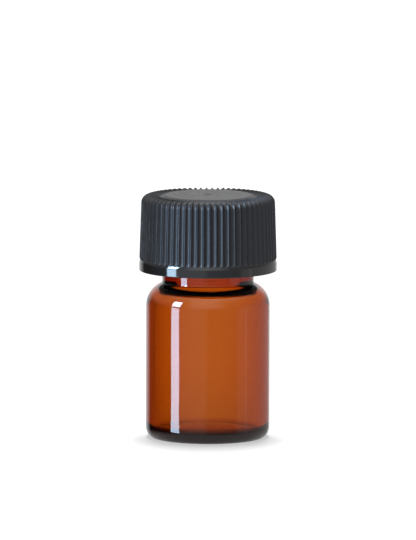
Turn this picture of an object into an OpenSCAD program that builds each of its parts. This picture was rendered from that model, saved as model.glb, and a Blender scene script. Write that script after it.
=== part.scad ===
// Small amber glass sample vial with a fluted screw cap and a foam liner.
// Millimetres. The vial stands on z = 0 with its axis on +Z and the cap screwed home.

/* [Glass body] */
// Outside diameter of the tube
vial_d = 15.08; // [14:0.02:18]
// Thickness of the tube wall
glass_wall = 1.1; // [0.8:0.05:1.4]
// Height of the glass from the table to its rim
vial_h = 27.5; // [24:0.1:60]
// Thickness of the floor over the standing ring
floor_t = 1.2; // [0.8:0.05:2]
// Radial reach of the rounded heel
heel_w = 0.9; // [0.6:0.05:1.3]
// Height of the rounded heel
heel_h = 1.45; // [0.8:0.05:2.5]
// Width of the flat ring that the vial stands on
foot_w = 1; // [0.5:0.05:1.5]
// Rise of the underside at its middle
punt_h = 0.45; // [0.1:0.05:0.8]
// Radius of the inside corner between floor and wall
floor_r = 0.7; // [0.5:0.05:2]
// Outside radius of the shoulder
shoulder_r = 2.9; // [2.5:0.05:3.1]
// Radius of the shoulder's inside
shoulder_in_r = 1.33; // [1:0.01:1.9]
// Height of the inside's centre over the outside's
shoulder_lift = 0.38; // [0:0.02:0.6]
// Radius of the fillet between shoulder and neck
neck_fillet = 0.45; // [0.2:0.05:0.7]

/* [Neck finish] */
// Outside diameter of the neck under its thread
neck_d = 11.15; // [10.8:0.01:11.4]
// Bore of the neck
neck_bore = 7.75; // [7:0.05:8.2]
// Height of the straight neck
neck_h = 8.24; // [8:0.02:10]
// Radius between the bore and the inside of the shoulder
bore_fillet = 1.85; // [1:0.05:2.1]
// Rounding of the rim
rim_r = 0.4; // [0.1:0.05:0.5]
// Diameter over the thread
thread_d = 12.8; // [12.4:0.05:13]
// Rise of the thread in one turn
thread_pitch = 2.117; // [1.8:0.001:2.6]
// Turns of thread on the neck
neck_turns = 2.6; // [1.5:0.1:2.6]
// Width of the neck thread's crest
neck_crest = 0.3; // [0.2:0.02:0.4]
// Slope of the thread's flanks
flank_a = 25; // [15:1:30]
// Drop from the rim to the middle of the neck thread's upper end
thread_drop = 1.3; // [1:0.05:1.6]
// Direction in which the neck thread starts, seen from above
thread_start = -122; // [-180:1:180]

/* [Screw cap] */
// Height of the cap
cap_h = 9.25; // [9:0.05:10]
// Diameter over the ribs, at their feet
cap_d = 16.74; // [16.4:0.02:18]
// Lean of the fluted wall
cap_draft = 1.8; // [0.5:0.1:2.5]
// Radius of the edge between wall and top
cap_edge_r = 0.96; // [0.7:0.02:1.2]
// Thickness of the top
cap_top_t = 1.25; // [1:0.05:1.6]
// Diameter of the plain band round the mouth
band_d = 16.8; // [16.2:0.02:18]
// Height of the band's upright part
band_h = 0.78; // [0.6:0.02:1.6]
// Radius of the curve in which the band draws in to the notch above it
band_round = 1.3; // [0.6:0.05:2]
// Height of the slope from the notch out to the ribs' feet
notch_h = 0.22; // [0.16:0.02:0.4]
// Depth of the notch below the band
notch_depth = 0.13; // [0.05:0.01:0.2]
// Bevel round the outside of the mouth
mouth_bevel = 0.1; // [0.05:0.01:0.3]
// Number of flutes
flute_n = 66; // [48:1:68]
// Direction of the first flute, seen from above
flute_start = 1.6; // [0.5:0.1:4.5]
// Lean of the flutes' floors
flute_draft = 1.7; // [0.5:0.1:2.5]
// Depth of a flute
flute_depth = 0.24; // [0.16:0.01:0.3]
// Radius of a flute's round section
flute_r = 0.33; // [0.31:0.01:0.4]
// Radius of the curve in which a flute runs out at its foot
runout_r = 0.6; // [0.5:0.05:1]
// Diameter of the flat disc on the top
disc_d = 10.7; // [9:0.1:11]
// Width of the slope that drops from the disc's edge
disc_slope = 0.5; // [0.3:0.05:0.7]
// Depth of the ring groove round the disc
disc_groove = 0.28; // [0.2:0.01:0.4]

/* [Fit of cap and neck] */
// Radial gap between the neck thread and the wall of the cap
crest_gap = 0.12; // [0.1:0.01:0.2]
// Radial gap between the cap thread and the neck
root_gap = 0.18; // [0.12:0.01:0.3]
// Axial gap between the bearing flanks
flank_gap = 0.15; // [0.1:0.01:0.2]
// Turns of thread in the cap
cap_turns = 1.75; // [1:0.05:2]
// Width of the cap thread's crest
cap_crest = 0.3; // [0.2:0.02:0.4]
// Height of the cap thread's lower end above the mouth
cap_thread_z = 0.8; // [0.7:0.05:1.2]

/* [Liner] */
// Thickness of the liner
liner_t = 1; // [0.8:0.05:1.5]
// Radial gap between the liner and the wall of the cap
liner_gap = 0.1; // [0.05:0.01:0.2]
// Reach of the bead that keeps the liner in the cap
bead_w = 0.3; // [0.2:0.02:0.4]
// Gap between the bead and the liner
bead_gap = 0.1; // [0.05:0.01:0.2]

/* [Hidden] */
$fn = 96;

arc_steps = 10;
turn_steps = 36;
// Part of a turn in which a thread grows from nothing, at each end
fade_turns = 0.12;
// How far a thread's root and the cutting tools run past a surface
sink = 0.2;
// Angle over which a flute curves out of the wall
runout_a = 62;

// Glass body
vial_r = vial_d / 2;
inner_r = vial_r - glass_wall;
neck_r = neck_d / 2;
bore_r = neck_bore / 2;
foot_r = vial_r - heel_w;
neck_z = vial_h - neck_h;
shoulder_x = vial_r - shoulder_r;
shoulder_in_x = inner_r - shoulder_in_r;
// An arc meets a fillet beside an upright wall when their centres are this far apart across the axis and along it
neck_reach = neck_r + neck_fillet - shoulder_x;
neck_rise = sqrt(pow(shoulder_r + neck_fillet, 2) - pow(neck_reach, 2));
bore_reach = bore_r + bore_fillet - shoulder_in_x;
bore_rise = sqrt(pow(shoulder_in_r + bore_fillet, 2) - pow(bore_reach, 2));
shoulder_z = neck_z - neck_rise;
shoulder_in_z = shoulder_z + shoulder_lift;
neck_a = atan2(neck_rise, neck_reach);
bore_a = atan2(bore_rise, bore_reach);

// Cap and liner
thread_r = thread_d / 2;
cap_bore_r = thread_r + crest_gap;
cap_tip_r = neck_r + root_gap;
ceiling_h = cap_h - cap_top_t;
cap_z = vial_h + liner_t - ceiling_h;
band_a = acos(1 - notch_depth / band_round);
rib_z = band_h + band_round * sin(band_a) + notch_h;
edge_z = cap_h - cap_edge_r;
edge_x = cap_d / 2 - (edge_z - rib_z) * tan(cap_draft) - cap_edge_r / cos(cap_draft);
disc_r = disc_d / 2;
groove_r = disc_r + disc_slope;

// Both threads follow one helix; the cap's lies this far under the neck's
neck_thread_z = vial_h - thread_drop - neck_turns * thread_pitch;
thread_under = (neck_crest + cap_crest) / 2 + (thread_r - cap_tip_r) * tan(flank_a) + flank_gap;
cap_thread_turn = (cap_z + cap_thread_z + thread_under - neck_thread_z) / thread_pitch;

// Elliptic arc about c from angle a to angle b
function arc(c, rx, ry, a, b) =
    [for (i = [0:arc_steps])
        let (t = a + (b - a) * i / arc_steps) [c.x + rx * cos(t), c.y + ry * sin(t)]];

// Shallow dome of radius r, at height z on its edge and h higher in the middle
function dome(r, z, h, from, to) =
    [for (i = [0:arc_steps])
        let (x = r * (from + (to - from) * i / arc_steps)) [x, z + h * (1 - pow(x / r, 2))]];

// Share of a thread's full height at a number of turns from its lower end
function fade(t, turns) = min(1, t / fade_turns, (turns - t) / fade_turns);

// Helical ridge on an upright wall of radius root, with its crest at radius tip
module thread(root, tip, crest, turns) {
    out = sign(tip - root);
    depth = abs(tip - root) + sink;
    steps = ceil(turns * turn_steps);
    foot = crest + 2 * depth * tan(flank_a);
    bevel = crest / 4;
    base = root - out * sink;
    rings = [for (i = [0:steps])
        let (t = turns * i / steps, top = base + out * max(depth * fade(t, turns), sink / 2))
        [for (p = [[base, -foot / 2], [top - out * bevel / 2, -crest / 2], [top, -crest / 2 + bevel],
                   [top, crest / 2 - bevel], [top - out * bevel / 2, crest / 2], [base, foot / 2]])
            [p.x * cos(360 * t), p.x * sin(360 * t), out * p.y + thread_pitch * t]]];
    n = len(rings[0]);
    last = steps * n;
    sides = [for (i = [0:steps - 1], j = [0:n - 1])
        let (a = i * n + j, b = i * n + (j + 1) % n) each [[a, b, b + n], [a, b + n, a + n]]];
    ends = [[for (j = [n - 1:-1:0]) j], [for (j = [0:n - 1]) last + j]];
    polyhedron([for (ring = rings) each ring], concat(sides, ends), convexity = 6);
}

module glass_wall_section() {
    polygon(concat(
        dome(foot_r - foot_w, 0, punt_h, 0, 1),
        arc([foot_r, heel_h], heel_w, heel_h, -90, 0),
        arc([shoulder_x, shoulder_z], shoulder_r, shoulder_r, 0, neck_a),
        arc([neck_r + neck_fillet, neck_z], neck_fillet, neck_fillet, 180 + neck_a, 180),
        arc([neck_r - rim_r, vial_h - rim_r], rim_r, rim_r, 0, 90),
        arc([bore_r + rim_r, vial_h - rim_r], rim_r, rim_r, 90, 180),
        arc([bore_r + bore_fillet, shoulder_in_z + bore_rise], bore_fillet, bore_fillet, 180, 180 + bore_a),
        arc([shoulder_in_x, shoulder_in_z], shoulder_in_r, shoulder_in_r, bore_a, 0),
        arc([inner_r - floor_r, floor_t + floor_r], floor_r, floor_r, 0, -90),
        dome(inner_r - floor_r, floor_t, punt_h, 1, 0)));
}

module vial_glass() {
    color([0.55, 0.24, 0.05, 0.75])
    union() {
        rotate_extrude() glass_wall_section();
        translate([0, 0, neck_thread_z]) rotate(thread_start)
            thread(neck_r, thread_r, neck_crest, neck_turns);
    }
}

// Solid outer form of the cap, before its flutes are cut
module cap_blank() {
    rotate_extrude() polygon(concat(
        [[0, 0], [band_d / 2 - mouth_bevel, 0], [band_d / 2, mouth_bevel]],
        arc([band_d / 2 - band_round, band_h], band_round, band_round, 0, band_a),
        [[cap_d / 2, rib_z]],
        arc([edge_x, edge_z], cap_edge_r, cap_edge_r, cap_draft, 90),
        [[groove_r + disc_groove, cap_h], [groove_r, cap_h - disc_groove], [disc_r, cap_h], [0, cap_h]]));
}

// Cutter for one flute: out of the notch, up the wall, round the edge and in over the top
module flute_cutter() {
    path_r = cap_edge_r + flute_r - flute_depth;
    wall_len = (edge_z - rib_z - sink) / cos(flute_draft);
    translate([edge_x, 0, edge_z]) {
        rotate([0, -flute_draft, 0]) {
            translate([path_r, 0, -wall_len]) cylinder(r = flute_r, h = wall_len);
            translate([path_r + runout_r, 0, -wall_len]) rotate([90, 0, 0]) rotate(180)
                rotate_extrude(angle = runout_a) translate([runout_r, 0]) circle(r = flute_r);
        }
        rotate([90, 0, 0]) rotate(flute_draft)
            rotate_extrude(angle = 90 - flute_draft) translate([path_r, 0]) circle(r = flute_r);
        translate([0, 0, path_r]) rotate([0, -90, 0])
            cylinder(r = flute_r, h = edge_x - groove_r);
    }
}

// Inside of the cap: thread bore, mouth bevel and the bead under the liner
module cap_hollow() {
    bead_top = ceiling_h - liner_t - bead_gap;
    rotate_extrude() polygon([
        [0, -sink], [cap_bore_r + mouth_bevel + sink, -sink], [cap_bore_r, mouth_bevel],
        [cap_bore_r, bead_top - 2 * bead_w], [cap_bore_r - bead_w, bead_top - bead_w], [cap_bore_r, bead_top],
        [cap_bore_r, ceiling_h], [0, ceiling_h]]);
}

module screw_cap() {
    color([0.1, 0.1, 0.11])
    translate([0, 0, cap_z]) {
        difference() {
            cap_blank();
            cap_hollow();
            for (i = [0:flute_n - 1]) rotate(flute_start + i * 360 / flute_n) flute_cutter();
        }
        translate([0, 0, cap_thread_z]) rotate(thread_start + 360 * cap_thread_turn)
            thread(cap_bore_r, cap_tip_r, cap_crest, cap_turns);
    }
}

module cap_liner() {
    color("white")
    translate([0, 0, vial_h]) cylinder(r = cap_bore_r - liner_gap, h = liner_t);
}

vial_glass();
screw_cap();
cap_liner();
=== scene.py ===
import math

import bpy
import numpy as np
from mathutils import Matrix, Vector


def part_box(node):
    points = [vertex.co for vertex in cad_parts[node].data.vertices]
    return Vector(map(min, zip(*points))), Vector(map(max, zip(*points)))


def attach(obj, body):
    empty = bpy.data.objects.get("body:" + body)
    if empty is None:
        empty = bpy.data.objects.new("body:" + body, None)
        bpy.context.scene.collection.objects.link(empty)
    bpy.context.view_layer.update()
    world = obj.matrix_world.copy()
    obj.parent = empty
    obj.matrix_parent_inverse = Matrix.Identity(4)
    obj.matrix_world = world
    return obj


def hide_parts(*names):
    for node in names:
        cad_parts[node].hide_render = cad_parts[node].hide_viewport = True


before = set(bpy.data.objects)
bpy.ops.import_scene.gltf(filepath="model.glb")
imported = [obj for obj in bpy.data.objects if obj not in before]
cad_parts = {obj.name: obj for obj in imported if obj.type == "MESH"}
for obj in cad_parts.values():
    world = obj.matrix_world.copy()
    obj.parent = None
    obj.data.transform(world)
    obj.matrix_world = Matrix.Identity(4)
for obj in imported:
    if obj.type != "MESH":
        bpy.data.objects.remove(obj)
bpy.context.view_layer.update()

# Shapes are worked out in millimetres, and go into the meshes in metres
millimetre = 0.001


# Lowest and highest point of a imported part, in millimetres
def heightsOf(node):
    low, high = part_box(node)
    return low.z / millimetre, high.z / millimetre


vialFoot, vialRim = heightsOf("vial_glass")
capMouth, capTop = heightsOf("screw_cap")
linerFoot, linerTop = heightsOf("cap_liner")


# A stretch of profile: an ellipse's centre plus its two radii times the cosine and sine of an evenly
# stepped angle
def arc(centre, radii, start, end, steps):
    angle = np.radians(np.linspace(start, end, steps + 1))
    return np.column_stack([centre[0] + radii[0] * np.cos(angle), centre[1] + radii[1] * np.sin(angle)])


# A straight stretch of profile, evenly stepped from one point to another
def straight(start, end, steps):
    share = np.linspace(0, 1, steps + 1)[:, None]
    return np.array(start) * (1 - share) + np.array(end) * share


# A shallow dome: height falls from the middle with the square of the distance from the axis
def dome(radius, height, rise, start, end, steps):
    out = radius * np.linspace(start, end, steps + 1)
    return np.column_stack([out, height + rise * (1 - (out / radius) ** 2)])


# Stretches of profile one after another, without the points that two of them share
def joined(stretches):
    profile = np.vstack(stretches)
    apart = np.linalg.norm(np.diff(profile, axis=0), axis=1) > 1e-4
    return profile[np.concatenate([[True], apart])]


# A profile's radii and heights, each as one column
def radiiAndHeights(profile):
    return profile[:, :1], profile[:, 1:]


# A profile turned about the upright axis: radius times cosine and sine of the angle, with the height kept
def turned(radius, height, angles):
    radius, height, angles = np.broadcast_arrays(radius, height, angles)
    return np.stack([radius * np.cos(angles), radius * np.sin(angles), height], axis=-1)


# Stretches of radii and heights, each spread over all the columns, then turned as one grid
def turnedStretches(stretches, angles):
    wide = [np.broadcast_arrays(radius, height, angles)[:2] for radius, height in stretches]
    radii, heights = zip(*wide)
    return turned(np.vstack(radii), np.vstack(heights), angles)


# Angles of a ring's columns, a full turn in even steps
def evenAngles(columns):
    return np.linspace(0, 2 * math.pi, columns, endpoint=False)


# Quads between neighbouring rings, as four blocks of point numbers shifted by one ring and one column
def ringQuads(rows, columns, first=0):
    number = first + np.arange(rows * columns).reshape(rows, columns)
    onward = np.roll(number, -1, axis=1)
    return np.stack([number[:-1], onward[:-1], onward[1:], number[1:]], axis=-1).reshape(-1, 4)


# Triangles from a ring to its pole, wound one way for a grid's first ring and the other way for its last
def fan(ring, pole, isFirst):
    onward = np.roll(ring, -1)
    pair = (onward, ring) if isFirst else (ring, onward)
    return np.stack([np.full_like(ring, pole), *pair], axis=-1)


sharpAngle = 35  # degrees between two faces, past which their edge is shaded sharp
nearAxis = 0.4  # radius of the ring nearest the axis on a flat side


# A mesh object from points in millimetres and faces, with a material slot's number for each face
def meshPiece(name, points, faces, slots):
    mesh = bpy.data.meshes.new(name)
    mesh.from_pydata(points.reshape(-1, 3) * millimetre, [], faces)
    mesh.polygons.foreach_set("material_index", np.asarray(slots, dtype=np.int32))
    mesh.update()
    mesh.shade_smooth()
    mesh.set_sharp_from_angle(angle=math.radians(sharpAngle))
    piece = bpy.data.objects.new(name, mesh)
    bpy.context.scene.collection.objects.link(piece)
    print(name, "has", len(points), "points and", len(faces), "faces")
    return piece


# A closed piece from rings that start and end near the axis, with a pole at each end
def turnedPiece(name, rings, startHeight, endHeight):
    rows, columns = rings.shape[:2]
    last = rows * columns
    points = np.vstack([rings.reshape(-1, 3), [[0, 0, startHeight], [0, 0, endHeight]]])
    faces = ringQuads(rows, columns).tolist()
    faces += fan(np.arange(columns), last, True).tolist()
    faces += fan(np.arange(last - columns, last), last + 1, False).tolist()
    return meshPiece(name, points, faces, np.zeros(len(faces)))


# Height of a thread above its root: the distance from the helix's nearest turn, measured along the axis,
# sets how far down the flank a point lies, and both ends fade in over part of a turn
def threadHeight(angles, height, thread):
    turnAngle = np.mod(angles - math.radians(thread["start"]), 2 * math.pi) / (2 * math.pi)
    lead = (height - thread["foot"]) / thread["pitch"]
    turn = np.round(lead - turnAngle) + turnAngle
    flank = thread["depth"] * math.tan(math.radians(thread["flankAngle"]))
    share = np.clip((thread["crest"] / 2 + flank - np.abs(lead - turn) * thread["pitch"]) / flank, 0, 1)
    fade = np.clip(np.minimum(turn, thread["turns"] - turn) / thread["fadeTurns"], 0, 1)
    return thread["depth"] * share * share * (3 - 2 * share) * fade


glass = {
    "outerRadius": 7.54,
    "wall": 1.1,
    "floor": 1.2,
    "floorCorner": 0.7,
    "heelWidth": 0.9,
    "heelHeight": 1.45,
    "footWidth": 1.0,
    "punt": 0.45,
    "shoulder": 2.9,
    "shoulderInside": 1.33,
    "shoulderLift": 0.38,  # the inside's centre above the outside's
    "neckHeight": 8.24,
    "neckRadius": 5.575,
    "neckFillet": 0.45,
    "boreRadius": 3.875,
    "boreFillet": 1.85,
    "rimRound": 0.4,
    "columns": 288,
    "poleRing": 0.04,  # the ring nearest a pole, as a share of its dome's radius
}
neckThread = {
    "pitch": 2.117,
    "turns": 2.6,
    "depth": 0.825,
    "crest": 0.3,
    "flankAngle": 25,
    "fadeTurns": 0.12,
    "start": -122,
    "drop": 1.3,  # from the rim to the middle of the thread's upper end
}
neckThread["foot"] = vialRim - neckThread["drop"] - neckThread["turns"] * neckThread["pitch"]


# Where an arc about the shoulder's centre meets a fillet beside an upright wall: the two radii together
# are the long side of a right triangle, its reach sideways gives the height above that centre, and both
# give the angle
def shoulderMeets(radius, fillet, wall, centre):
    reach = wall + fillet - centre
    rise = math.sqrt((radius + fillet) ** 2 - reach**2)
    return rise, math.degrees(math.atan2(rise, reach))


# The outside as stretches of profile, from the raised underside round the heel, up the body, over the
# shoulder and up the neck to the rim. Small gaps between stretches keep their rows apart.
def glassOutside():
    outer, shoulder, heel = glass["outerRadius"], glass["shoulder"], glass["heelWidth"]
    neck, fillet, rim = glass["neckRadius"], glass["neckFillet"], glass["rimRound"]
    footRadius, centre, neckFoot = outer - heel, outer - shoulder, vialRim - glass["neckHeight"]
    neckRise, neckAngle = shoulderMeets(shoulder, fillet, neck, centre)
    puntRadius = footRadius - glass["footWidth"]
    stretches = [
        dome(puntRadius, vialFoot, glass["punt"], glass["poleRing"], 1, 16),
        arc((footRadius, vialFoot + glass["heelHeight"]), (heel, glass["heelHeight"]), -90, 0, 24),
        arc((centre, neckFoot - neckRise), (shoulder, shoulder), 0, neckAngle, 32),
        arc((neck + fillet, neckFoot), (fillet, fillet), 180 + neckAngle, 180, 8),
        straight((neck, neckFoot + 0.05), (neck, vialRim - rim - 0.02), 120),
        arc((neck - rim, vialRim - rim), (rim, rim), 0, 90, 8),
    ]
    return stretches, neckFoot - neckRise


# The inside in the same way, from the rim down the bore and round the shoulder to the middle of the floor
def glassInside(shoulderHeight):
    inner, bore, rim = glass["outerRadius"] - glass["wall"], glass["boreRadius"], glass["rimRound"]
    inside, fillet, corner = glass["shoulderInside"], glass["boreFillet"], glass["floorCorner"]
    centre, height = inner - inside, shoulderHeight + glass["shoulderLift"]
    boreRise, boreAngle = shoulderMeets(inside, fillet, bore, centre)
    floorRadius, floorTop = inner - corner, vialFoot + glass["floor"]
    return [
        arc((bore + rim, vialRim - rim), (rim, rim), 90, 180, 8),
        arc((bore + fillet, height + boreRise), (fillet, fillet), 180, 180 + boreAngle, 24),
        arc((centre, height), (inside, inside), boreAngle, 0, 24),
        straight((inner, height - 0.1), (inner, floorTop + corner + 0.1), 12),
        arc((floorRadius, floorTop + corner), (corner, corner), 0, -90, 16),
        dome(floorRadius, floorTop, glass["punt"], 0.97, glass["poleRing"], 16),
    ]


# The whole profile turned, with the thread's height added to the neck's radius
def buildGlass():
    outside, shoulderHeight = glassOutside()
    radius, height = radiiAndHeights(joined(outside + glassInside(shoulderHeight)))
    angles = evenAngles(glass["columns"])
    standsOut = np.isclose(radius, glass["neckRadius"]) * threadHeight(angles, height, neckThread)
    rings = turned(radius + standsOut, height, angles)
    middleBelow, middleAbove = vialFoot + glass["punt"], vialFoot + glass["floor"] + glass["punt"]
    return turnedPiece("amber_vial", rings, middleBelow, middleAbove)


cap = {
    "draft": 1.8,  # degrees
    "ribRadius": 8.37,
    "edge": 0.96,  # radius of the turn from wall to top
    "topThickness": 1.25,
    "bandRadius": 8.40,
    "bandHeight": 0.78,
    "bandRound": 1.3,  # radius of the slow arc into the notch
    "notchDepth": 0.13,
    "notchHeight": 0.22,
    "bevel": 0.1,
    "flutes": 66,
    "fluteStart": 1.6,  # degrees
    "fluteDepth": 0.24,
    "fluteRound": 0.33,  # radius of a flute's section
    "fluteFoot": 0.2,  # height above the ribs' foot at which a flute starts to run out
    "runout": 0.93,  # radius of the arc in which it does
    "landRounding": 0.03,
    "discRadius": 5.35,
    "discSlope": 0.5,  # width of the slope round the disc
    "discGroove": 0.28,  # depth of the groove at its foot
    "discRound": 0.12,
    "slopeEnd": 0.3,  # depth at which the slope meets the disc's rim, as a share of the groove's
    "gateRadius": 0.55,
    "gateDepth": 0.06,
    "gateGroove": (0.8, 0.45, 0.36),  # foot's outer and inner edge, inner rim, as shares of the radius
    "boreRadius": 6.52,
    "beadReach": 0.3,
    "beadGap": 0.1,
}
capThread = {
    "pitch": neckThread["pitch"],
    "turns": 1.75,
    "depth": 0.765,
    "crest": 0.3,
    "flankAngle": 25,
    "fadeTurns": 0.12,
    "aboveMouth": 0.8,
    "flankGap": 0.15,
}
capThread["foot"] = capMouth + capThread["aboveMouth"]
# The cap's thread lies under the neck's by half of both crests, both flanks' reach and the gap between them
underNeck = (neckThread["crest"] + capThread["crest"]) / 2 + capThread["flankGap"]
threadsOverlap = glass["neckRadius"] + neckThread["depth"] - cap["boreRadius"] + capThread["depth"]
underNeck += threadsOverlap * math.tan(math.radians(capThread["flankAngle"]))
threadRise = capThread["foot"] + underNeck - neckThread["foot"]
capThread["start"] = neckThread["start"] + 360 * threadRise / neckThread["pitch"]

# Places on the cap that follow from its sizes, with heights above its mouth
draft = math.radians(cap["draft"])
capHeight = capTop - capMouth
notchTurn = math.acos(1 - cap["notchDepth"] / cap["bandRound"])
notchRadius = cap["bandRadius"] - cap["notchDepth"]
notchFoot = cap["bandHeight"] + cap["bandRound"] * math.sin(notchTurn)
ribFoot = notchFoot + cap["notchHeight"]
edgeHeight = capHeight - cap["edge"]
edgeRadius = cap["ribRadius"] - (edgeHeight - ribFoot) * math.tan(draft) - cap["edge"] / math.cos(draft)
grooveRadius = cap["discRadius"] + cap["discSlope"]
grooveRim = grooveRadius + cap["discGroove"]


# Depth of a flute: a round section, which is a circle's height at a distance sideways less the part outside
# the wall, cut off at the wall with a soft corner
def fluteHollow(sideways, lift):
    radius, depth, soft = cap["fluteRound"], cap["fluteDepth"], cap["landRounding"]
    section = np.sqrt(np.maximum(radius**2 - sideways**2, 0)) - (radius - depth) - lift
    return (section + np.sqrt(section**2 + soft**2)) / 2


# Plain rows of the band: the bevel's arc at the mouth, a straight wall and a slow arc to the bottom of
# the notch
def bandRows():
    radius, bevel, bend = cap["bandRadius"], cap["bevel"], cap["bandRound"]
    return radiiAndHeights(np.vstack([
        arc((radius - bevel, bevel), (bevel, bevel), -90, -5, 6),
        straight((radius, bevel + 0.01), (radius, cap["bandHeight"] - 0.02), 3),
        arc((radius - bend, cap["bandHeight"]), (bend, bend), 0, math.degrees(notchTurn), 8),
    ]))


# Notch and wall: the wall leans in by its height times the tangent of the draft, less the flute's depth.
# The flute's floor runs out to the wall along an arc at its foot, and the notch's slope cuts across it.
def wallRows(sideways):
    height = np.concatenate([
        np.linspace(notchFoot + 0.03, ribFoot, 5),
        np.linspace(ribFoot + 0.05, ribFoot + 0.5, 5),
        np.linspace(ribFoot + 1, edgeHeight - 0.1, 5),
    ])[:, None]
    wall = cap["ribRadius"] - (height - ribFoot) * math.tan(draft)
    below = np.maximum(ribFoot + cap["fluteFoot"] - height, 0)
    lift = cap["runout"] - np.sqrt(cap["runout"] ** 2 - below**2)
    fluted = wall - fluteHollow(sideways * wall, lift)
    notch = notchRadius + (height - notchFoot) * (cap["ribRadius"] - notchRadius) / (ribFoot - notchFoot)
    return np.minimum(fluted, notch), height


# Edge: an arc from the wall's lean to level, with its radius less the flute's depth at each column
def edgeRows(sideways):
    turn = np.linspace(draft, math.pi / 2, 13)[:, None]
    reach = cap["edge"] - fluteHollow(sideways * (edgeRadius + cap["edge"] * np.cos(turn)), 0)
    return edgeRadius + reach * np.cos(turn), edgeHeight + reach * np.sin(turn)


# Top, in to the ring groove: its height less the flute's depth, cut by the groove's even slope
def topRows(sideways):
    radius = np.concatenate([
        np.linspace(edgeRadius - 0.15, grooveRim + 0.1, 5),
        np.linspace(grooveRim, grooveRadius, 8),
    ])[:, None]
    slope = capHeight - np.maximum(grooveRim - radius, 0)
    return radius, np.minimum(slope, capHeight - fluteHollow(sideways * radius, 0))


# The straight slope that rises from the groove to the disc
def slopeRows():
    low = (grooveRadius - 0.03, capHeight - cap["discGroove"] + 0.01)
    high = (cap["discRadius"] + cap["discRound"], capHeight - cap["discGroove"] * cap["slopeEnd"])
    return radiiAndHeights(straight(low, high, 3))


# The disc: an arc for its rounded rim, a level top, and the small round groove of the moulding gate in
# its middle
def discRows():
    bend, gate, dip = cap["discRound"], cap["gateRadius"], capHeight - cap["gateDepth"]
    footOut, footIn, innerRim = cap["gateGroove"]
    lean = math.degrees(math.atan2(cap["discSlope"], cap["discGroove"]))
    return radiiAndHeights(np.vstack([
        arc((cap["discRadius"] - bend, capHeight - bend), (bend, bend), 90 - lean * 0.5, 90, 5),
        straight((cap["discRadius"] - 0.6, capHeight), (gate + 0.15, capHeight), 4),
        straight((gate, capHeight - 0.01), (gate * footOut, dip), 3),
        straight((gate * footIn, dip), (gate * innerRim, capHeight - 0.02), 2),
    ]))


# The outside as one grid, and how many of its rows have each finish
def capOutside(angles, sideways):
    polished = [bandRows()]
    ribbed = [wallRows(sideways), edgeRows(sideways), topRows(sideways), slopeRows()]
    disc = [discRows()]
    grid = turnedStretches(polished + ribbed + disc, angles)
    grid[..., 2] += capMouth
    return grid, [sum(len(rows[0]) for rows in finish) for finish in (polished, ribbed, disc)]


# The inside as one grid: the ceiling over the liner, the bead that holds it, the bore's radius less the
# thread's height, and the mouth
def capInside(angles):
    ceiling = capTop - cap["topThickness"]
    beadTop = ceiling - (linerTop - linerFoot) - cap["beadGap"]
    bore, reach, threadMouth = cap["boreRadius"], cap["beadReach"], capMouth + cap["bevel"]
    roof = np.vstack([
        straight((nearAxis, ceiling), (bore - 0.05, ceiling), 3),
        straight((bore, ceiling - 0.05), (bore, beadTop), 2),
        straight((bore - reach, beadTop - reach), (bore, beadTop - 2 * reach), 3),
    ])
    height = straight((bore, beadTop - 2 * reach - 0.08), (bore, threadMouth + 0.05), 80)[:, 1:]
    threaded = (bore - threadHeight(angles, height, capThread), height)
    mouth = straight((bore, threadMouth), (bore + cap["bevel"], capMouth), 2)
    return turnedStretches([radiiAndHeights(roof), threaded, radiiAndHeights(mouth)], angles), ceiling


# One closed shell: inside and outside grids, joined round the mouth and closed at the axis
def buildCap():
    # twelve columns a flute, closer together at the corners of the lands, as shares of the flute's pitch
    share = np.array([-0.5, -0.44, -0.395, -0.34, -0.25, -0.13, 0, 0.13, 0.25, 0.34, 0.395, 0.44])
    pitch = 2 * math.pi / cap["flutes"]
    centres = math.radians(cap["fluteStart"]) + pitch * np.arange(cap["flutes"])
    angles = (centres[:, None] + share * pitch).ravel()
    sideways = np.tile(share * pitch, cap["flutes"])
    outside, finishRows = capOutside(angles, sideways)
    innerStep = 3  # the inside takes every third column
    inside, ceiling = capInside(angles[::innerStep])

    innerRows, innerColumns = inside.shape[:2]
    outerRows, outerColumns = outside.shape[:2]
    firstOuter = innerRows * innerColumns
    pole = firstOuter + outerRows * outerColumns
    poles = [[0, 0, ceiling], [0, 0, capTop - 0.01]]  # the upper one is in the gate mark, just under the top
    points = np.vstack([inside.reshape(-1, 3), outside.reshape(-1, 3), poles])

    # round the mouth, each face joins one inner column's width to three outer ones
    innerRing = np.arange(firstOuter - innerColumns, firstOuter)
    outerRing = firstOuter + np.arange(outerColumns).reshape(innerColumns, innerStep)
    nextInner, nextOuter = np.roll(innerRing, -1), np.roll(outerRing[:, 0], -1)
    mouth = np.column_stack([innerRing, nextInner, nextOuter, outerRing[:, ::-1]])
    insideQuads = ringQuads(innerRows, innerColumns)
    faces = insideQuads.tolist() + mouth.tolist() + ringQuads(outerRows, outerColumns, firstOuter).tolist()
    faces += fan(np.arange(innerColumns), pole, True).tolist()
    faces += fan(np.arange(pole - outerColumns, pole), pole + 1, False).tolist()

    # material slots; the faces between two finishes are ribbed
    ribbed, polished, disc = 0, 1, 2
    rowSlots = np.repeat([polished, ribbed, disc], np.array(finishRows) + (-1, 1, -1))
    slots = np.concatenate([
        np.full(len(insideQuads), ribbed), np.full(len(mouth), polished), np.repeat(rowSlots, outerColumns),
        np.full(innerColumns, ribbed), np.full(outerColumns, disc),
    ])
    return meshPiece("fluted_cap", points, faces, slots)


liner = {
    "radius": 6.42,
    "edge": 0.08,
    "printInner": 4.45,  # the rim's print, a shallow ring pressed into the underside
    "printOuter": 5.2,
    "printDepth": 0.03,
    "columns": 128,
}


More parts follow.
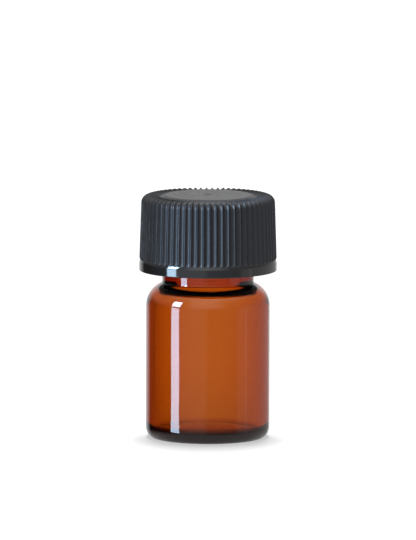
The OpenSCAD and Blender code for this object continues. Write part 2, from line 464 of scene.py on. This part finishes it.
# A closed disc: its profile turned, with the print's ring in the underside and both rims rounded by arcs
def buildLiner():
    edge, radius, printed = liner["edge"], liner["radius"], linerFoot + liner["printDepth"]
    profile = np.vstack([
        straight((nearAxis, linerFoot), (liner["printInner"] - 0.1, linerFoot), 4),
        straight((liner["printInner"], printed), (liner["printOuter"], printed), 2),
        straight((liner["printOuter"] + 0.1, linerFoot), (radius - edge - 0.1, linerFoot), 2),
        arc((radius - edge, linerFoot + edge), (edge, edge), -90, 0, 5),
        arc((radius - edge, linerTop - edge), (edge, edge), 0, 90, 5),
        straight((radius - 0.5, linerTop), (nearAxis, linerTop), 4),
    ])
    rings = turned(*radiiAndHeights(profile), evenAngles(liner["columns"]))
    return turnedPiece("foam_liner", rings, linerFoot, linerTop)


def newMaterial(name):
    material = bpy.data.materials.new(name)
    material.use_nodes = True
    tree = material.node_tree
    return material, tree, tree.nodes["Principled BSDF"]


# A shader node, with each value given by the name of its socket or of its setting
def addNode(tree, kind, **values):
    node = tree.nodes.new(kind)
    for key, value in values.items():
        if key in node.inputs:
            node.inputs[key].default_value = value
        else:
            setattr(node, key, value)
    return node


# Noise on Object coordinates, stretched by its scale along each axis
def objectNoise(tree, scale, detail=2.0):
    place = addNode(tree, "ShaderNodeTexCoord")
    mapping = addNode(tree, "ShaderNodeMapping", Scale=scale)
    noise = addNode(tree, "ShaderNodeTexNoise", Scale=1.0, Detail=detail)
    tree.links.new(place.outputs["Object"], mapping.inputs["Vector"])
    tree.links.new(mapping.outputs["Vector"], noise.inputs["Vector"])
    return noise.outputs["Fac"]


def addBump(tree, shader, height, distance):
    bump = addNode(tree, "ShaderNodeBump", Strength=1.0, Distance=distance)
    tree.links.new(height, bump.inputs["Height"])
    tree.links.new(bump.outputs["Normal"], shader.inputs["Normal"])


# A value that goes from one level to another as another value goes through its own span
def levelOver(tree, value, span, levels):
    reach = addNode(tree, "ShaderNodeMapRange")
    reach.inputs["From Min"].default_value, reach.inputs["From Max"].default_value = span
    reach.inputs["To Min"].default_value, reach.inputs["To Max"].default_value = levels
    tree.links.new(value, reach.inputs["Value"])
    return reach.outputs["Result"]


noiseSpan = (0.3, 0.7)  # where most of a noise's values lie

amber = {
    "ior": 1.5,
    "density": 2700.0,
    "absorbs": (0.131, 0.407, 0.963),  # shares of red, green and blue
    "waves": (260, 260, 60),  # the waves of drawn glass, long and upright
    "waveHeight": 0.0000008,
}


def amberGlass():
    material, tree, shader = newMaterial("amber_glass_clear")
    shader.inputs["Base Color"].default_value = (1, 1, 1, 1)
    shader.inputs["Roughness"].default_value = 0.0
    shader.inputs["IOR"].default_value = amber["ior"]
    shader.inputs["Transmission Weight"].default_value = 1.0
    addBump(tree, shader, objectNoise(tree, amber["waves"], 1.0), amber["waveHeight"])
    passes = [1 - part for part in amber["absorbs"]]
    volume = addNode(tree, "ShaderNodeVolumeAbsorption", Color=(*passes, 1), Density=amber["density"])
    tree.links.new(volume.outputs["Volume"], tree.nodes["Material Output"].inputs["Volume"])
    return material


# The cap's black plastic in three finishes. Besides roughness and grain, their colours differ: the ribbed
# wall's near-black, bluish colour is partly painted shade and light, darkened so the flutes stay dark and
# tinted for the strips' bluish light on them, and the disc's lighter grey is partly painted light on the top.
plastic = {
    "ribbed": {
        "colour": (0.0010, 0.0028, 0.0085, 1),
        "ior": 1.67,
        "rough": (0.43, 0.55),
        "grain": 6000,
        "grainHeight": 0.000010,
    },
    "polished": {
        "colour": (0.013, 0.013, 0.014, 1),
        "ior": 1.6,
        "rough": (0.06, 0.12),
        "grain": 2500,
        "grainHeight": 0.000001,
    },
    "disc": {
        "colour": (0.022, 0.022, 0.023, 1),
        "ior": 1.6,
        "rough": (0.42, 0.52),
        "grain": 11000,
        "grainHeight": 0.000010,
    },
    "patches": 1500,  # the scale at which the roughness varies
}


def blackPlastic(name):
    finish = plastic[name]
    material, tree, shader = newMaterial("black_plastic_" + name)
    shader.inputs["Base Color"].default_value = finish["colour"]
    shader.inputs["IOR"].default_value = finish["ior"]
    patches = objectNoise(tree, (plastic["patches"],) * 3)
    tree.links.new(levelOver(tree, patches, noiseSpan, finish["rough"]), shader.inputs["Roughness"])
    addBump(tree, shader, objectNoise(tree, (finish["grain"],) * 3), finish["grainHeight"])
    return material


foam = {
    "colour": (0.82, 0.81, 0.77, 1),
    "rough": (0.7, 0.9),
    "patches": 2500,
    "cells": 6000,
    "cellDepth": 0.00002,
}


def linerFoam():
    material, tree, shader = newMaterial("white_foam")
    shader.inputs["Base Color"].default_value = foam["colour"]
    patches = objectNoise(tree, (foam["patches"],) * 3)
    tree.links.new(levelOver(tree, patches, noiseSpan, foam["rough"]), shader.inputs["Roughness"])
    addBump(tree, shader, objectNoise(tree, (foam["cells"],) * 3, 4.0), foam["cellDepth"])
    return material


def addPieces():
    vial = buildGlass()
    vial.data.materials.append(amberGlass())
    closure = buildCap()
    for name in ("ribbed", "polished", "disc"):
        closure.data.materials.append(blackPlastic(name))
    seal = buildLiner()
    seal.data.materials.append(linerFoam())
    for piece, node, body, slot in (
        (vial, "vial_glass", "vial", "amber_glass"),
        (closure, "screw_cap", "cap", "black_cap_plastic"),
        (seal, "cap_liner", "liner", "white_liner_foam"),
    ):
        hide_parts(node)
        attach(piece, body)
    return vial, closure, seal


# The studio that reflections see. The walls and the part above them are pairs of a bearing, in degrees to
# the left of the camera, and a brightness.
studio = {
    "round": [
        (0, 0.30), (6, 0.50), (56, 0.50), (76, 0.02), (136, 0.02), (148, 0.7), (158, 0.9), (200, 0.9),
        (208, 0.52), (282, 0.52), (284, 1.1), (286, 0.52), (300, 0.5), (306, 0.24), (360, 0.24),
    ],
    "above": [
        (0, 1.2), (28, 1.1), (46, 0.3), (140, 0.3), (160, 1.0), (200, 1.0), (220, 0.3), (322, 0.3),
        (338, 0.8), (360, 1.1),
    ],
    "overhead": 1.4,
    "underneath": 0.70,
    "white": 1.0,  # what the camera and rays through glass see
    "diffuse": 0.80,  # what lights matt surfaces
    "shaded": 0.12,  # what lights them through glass
}
# Where each part of the studio takes over from the walls, by the z of the direction
studioSpans = {"above": (0.1, 0.3), "overhead": (0.6, 0.9), "underneath": (-0.2, -0.45)}


# A colour ramp over the bearing of a direction or a place, which is the arctangent of its x and y
def bearingRamp(tree, axes, levels):
    bearing = addNode(tree, "ShaderNodeMath", operation="ARCTAN2")
    tree.links.new(axes.outputs["X"], bearing.inputs[0])
    tree.links.new(axes.outputs["Y"], bearing.inputs[1])
    walls = addNode(tree, "ShaderNodeValToRGB")
    stops = walls.color_ramp.elements
    for number, (degrees, level) in enumerate(levels):
        stop = stops[number] if number < 2 else stops.new(1.0)
        stop.position = degrees / 360
        stop.color = (level, level, level, 1)
    turn = levelOver(tree, bearing.outputs["Value"], (-math.pi, math.pi), (0, 1))
    tree.links.new(turn, walls.inputs["Fac"])
    return walls.outputs["Color"]


def mixed(tree, share, low, high):
    mix = addNode(tree, "ShaderNodeMix", data_type="RGBA")
    tree.links.new(share, mix.inputs["Factor"])
    for side, value in (("A", low), ("B", high)):
        if isinstance(value, (int, float)):
            mix.inputs[side].default_value = (value, value, value, 1)
        else:
            tree.links.new(value, mix.inputs[side])
    return mix.outputs["Result"]


# The walls go by bearing, and the parts above, overhead and underneath blend in with the direction's z.
# Only reflections see them: the camera and rays through glass see plain white, and matt surfaces are lit
# by a plain level, or by a darker one where that light comes through glass, so the vial shades the floor
# at its foot.
def buildStudio():
    world = bpy.data.worlds.new("studio")
    bpy.context.scene.world = world
    world.use_nodes = True
    world.cycles.sampling_method = "NONE"
    tree = world.node_tree
    place = addNode(tree, "ShaderNodeTexCoord")
    axes = addNode(tree, "ShaderNodeSeparateXYZ")
    tree.links.new(place.outputs["Generated"], axes.inputs["Vector"])
    colour = bearingRamp(tree, axes, studio["round"])
    levels = {
        "above": bearingRamp(tree, axes, studio["above"]),
        "overhead": studio["overhead"],
        "underneath": studio["underneath"],
    }
    for name, span in studioSpans.items():
        colour = mixed(tree, levelOver(tree, axes.outputs["Z"], span, (0, 1)), colour, levels[name])
    path = addNode(tree, "ShaderNodeLightPath")
    # a refracted ray counts as glossy too, so a mirrored one is glossy and not transmitted
    mirrored = addNode(tree, "ShaderNodeMath", operation="SUBTRACT", use_clamp=True)
    tree.links.new(path.outputs["Is Glossy Ray"], mirrored.inputs[0])
    tree.links.new(path.outputs["Is Transmission Ray"], mirrored.inputs[1])
    seen = mixed(tree, mirrored.outputs["Value"], studio["white"], colour)
    seen = mixed(tree, path.outputs["Diffuse Depth"], seen, studio["shaded"])
    seen = mixed(tree, path.outputs["Is Diffuse Ray"], seen, studio["diffuse"])
    tree.links.new(seen, tree.nodes["Background"].inputs["Color"])


# The floor gives back only a small share of the light, mainly the soft box's, and its own glow makes up
# white. Rays through glass see painted light and shade in the glow instead: a painted pattern by bearing,
# brightest straight behind the vial and dark towards the sides, and a painted shadow close to the foot.
paper = {
    "radius": 700,
    "middleRing": 1.0,
    "columns": 64,
    "givesBack": 0.10,
    "glow": 0.52,
    "paintedLightByBearing": [
        (0, 0.21), (134, 0.02), (150, 0.20), (164, 0.30), (175, 0.34), (186, 0.34), (197, 0.27), (222, 0.19),
        (360, 0.24),
    ],
    "paintedShadowLevel": 0.52,
    "near": (0.012, 0.07),  # metres from the axis, where the painted shadow is darkest and where it ends
}


# Two rings and a middle point, flat at the height of the vial's foot
def floorSheet():
    angles = evenAngles(paper["columns"])
    rings = turned(np.array([[paper["middleRing"]], [paper["radius"]]]), vialFoot, angles)
    points = np.vstack([rings.reshape(-1, 3), [[0, 0, vialFoot]]])
    count = len(angles)
    faces = ringQuads(2, count)[:, ::-1].tolist() + fan(np.arange(count), 2 * count, False).tolist()
    return meshPiece("studio_floor", points, faces, np.zeros(len(faces)))


def whitePaper():
    material, tree, shader = newMaterial("white_paper")
    tree.nodes.remove(shader)
    place = addNode(tree, "ShaderNodeTexCoord")
    axes = addNode(tree, "ShaderNodeSeparateXYZ")
    tree.links.new(place.outputs["Object"], axes.inputs["Vector"])
    distance = addNode(tree, "ShaderNodeVectorMath", operation="LENGTH")
    tree.links.new(place.outputs["Object"], distance.inputs[0])
    # painted shadow and painted light that only rays through glass see: the glow is darker close to the foot
    # and varies by bearing
    near = levelOver(tree, distance.outputs["Value"], paper["near"], (paper["paintedShadowLevel"], 1.0))
    paintedGlowThroughGlass = addNode(tree, "ShaderNodeMath", operation="MULTIPLY")
    tree.links.new(bearingRamp(tree, axes, paper["paintedLightByBearing"]), paintedGlowThroughGlass.inputs[0])
    tree.links.new(near, paintedGlowThroughGlass.inputs[1])
    path = addNode(tree, "ShaderNodeLightPath")
    level = mixed(tree, path.outputs["Is Transmission Ray"], paper["glow"], paintedGlowThroughGlass.outputs["Value"])
    sheet = addNode(tree, "ShaderNodeBsdfDiffuse", Color=(paper["givesBack"],) * 3 + (1,))
    glow = addNode(tree, "ShaderNodeEmission")
    tree.links.new(level, glow.inputs["Color"])
    both = addNode(tree, "ShaderNodeAddShader")
    tree.links.new(sheet.outputs["BSDF"], both.inputs[0])
    tree.links.new(glow.outputs["Emission"], both.inputs[1])
    tree.links.new(both.outputs["Shader"], tree.nodes["Material Output"].inputs["Surface"])
    return material


def buildFloor():
    floor = floorSheet()
    floor.data.materials.append(whitePaper())
    floor.visible_glossy = False  # reflections see the studio's lower half, so the strips show down the glass
    return floor


# Lamps, by distance in metres, bearing in degrees to the left of the camera, and the degrees that they
# take up across and from one elevation to another. Two tall strips light the pieces only. A soft box
# almost overhead, leaning to the back, lights the floor only, so the pieces' shadow falls forward.
lamps = {
    "strip_low": {
        "away": 0.4, "bearing": 63.3, "across": 17.1, "from": -14, "to": 7.4,
        "radiance": 15.0, "colour": (0.54, 0.77, 1.0),
    },
    "strip_high": {
        "away": 0.4, "bearing": 63.3, "across": 17.1, "from": 12.2, "to": 33,
        "radiance": 38.0, "colour": (0.54, 0.77, 1.0),
    },
    "soft_box": {
        "away": 3.0, "bearing": 180, "across": 12, "from": 73, "to": 91,
        "radiance": 280, "colour": (1.0, 1.0, 1.0),
    },
}


# A collection for light linking
def gathered(name, things):
    group = bpy.data.collections.new(name)
    for thing in things:
        group.objects.link(thing)
    return group


# An area lamp that faces the middle of the object, with its radiance times pi times its area as its energy
def addLamp(name, receivers):
    lamp = lamps[name]
    middle = Vector((0, 0, capTop * millimetre / 2))
    bearing = math.radians(lamp["bearing"])
    low, high = math.radians(lamp["from"]), math.radians(lamp["to"])
    elevation = (low + high) / 2
    level = math.cos(elevation)
    toward = Vector((-math.sin(bearing) * level, -math.cos(bearing) * level, math.sin(elevation)))
    light = bpy.data.lights.new(name, "AREA")
    light.shape = "RECTANGLE"
    light.size = 2 * lamp["away"] * math.tan(math.radians(lamp["across"]) / 2)
    light.size_y = 2 * lamp["away"] * math.tan((high - low) / 2)
    light.energy = lamp["radiance"] * math.pi * light.size * light.size_y
    light.color = lamp["colour"]
    holder = bpy.data.objects.new(name, light)
    holder.location = middle + lamp["away"] * toward
    holder.rotation_euler = (-toward).to_track_quat("-Z", "Y").to_euler()
    holder.visible_camera = False
    holder.visible_transmission = False
    holder.light_linking.receiver_collection = gathered("lit_by_" + name, receivers)
    bpy.context.scene.collection.objects.link(holder)
    return holder


# A black card between the strips and the cap's far left, in millimetres: how far out it stands, how far
# it reaches past the axis towards the camera and away from it, and its height range. It isn't seen, and
# only stops the strips' light.
card = {"out": 22, "past": 3.0, "beyond": 40, "low": 15, "high": 46}


def addCard():
    bearing = math.radians(lamps["strip_low"]["bearing"])
    out = np.array([-math.sin(bearing), -math.cos(bearing), 0])
    along = np.array([math.cos(bearing), -math.sin(bearing), 0])
    up = np.array([0, 0, 1])
    outline = (
        (-card["beyond"], card["low"]),
        (card["past"], card["low"]),
        (card["past"], card["high"]),
        (-card["beyond"], card["high"]),
    )
    corners = [out * card["out"] + along * side + up * height for side, height in outline]
    flag = meshPiece("black_card", np.array(corners), [[0, 1, 2, 3]], np.zeros(1))
    material, tree, shader = newMaterial("black_card")
    shader.inputs["Base Color"].default_value = (0.02, 0.02, 0.02, 1)
    flag.data.materials.append(material)
    flag.visible_camera = flag.visible_glossy = flag.visible_diffuse = flag.visible_transmission = False


# The camera looks at a height on the axis, in millimetres, from a distance in metres, and takes in a
# width of so many millimetres there; angles are in degrees
view = {"height": 20.5, "distance": 2.0, "elevation": 7.4, "roll": 0.15, "covers": 65.8}


def addCamera():
    elevation = math.radians(view["elevation"])
    target = Vector((0, 0, view["height"] * millimetre))
    back = Vector((0, -math.cos(elevation), math.sin(elevation)))
    camera = bpy.data.cameras.new("camera")
    camera.lens = camera.sensor_width * view["distance"] / (view["covers"] * millimetre)
    camera.clip_start, camera.clip_end = 0.1, 20
    holder = bpy.data.objects.new("camera", camera)
    holder.location = target + view["distance"] * back
    facing = (-back).to_track_quat("-Z", "Y").to_matrix()
    roll = Matrix.Rotation(math.radians(view["roll"]), 3, "Z")
    holder.rotation_euler = (facing @ roll).to_euler()
    bpy.context.scene.collection.objects.link(holder)
    bpy.context.scene.camera = holder


pieces = addPieces()
print("pieces built")
buildStudio()
floor = buildFloor()
addCard()
addLamp("strip_low", pieces)
addLamp("strip_high", pieces)
softBox = addLamp("soft_box", [floor])
# only the pieces stop the soft box's light, so the card casts no shadow on the floor
softBox.light_linking.blocker_collection = gathered("blocks_soft_box", pieces)
addCamera()
bpy.context.scene.view_settings.view_transform = "Standard"
print("studio, floor, lamps and camera placed")
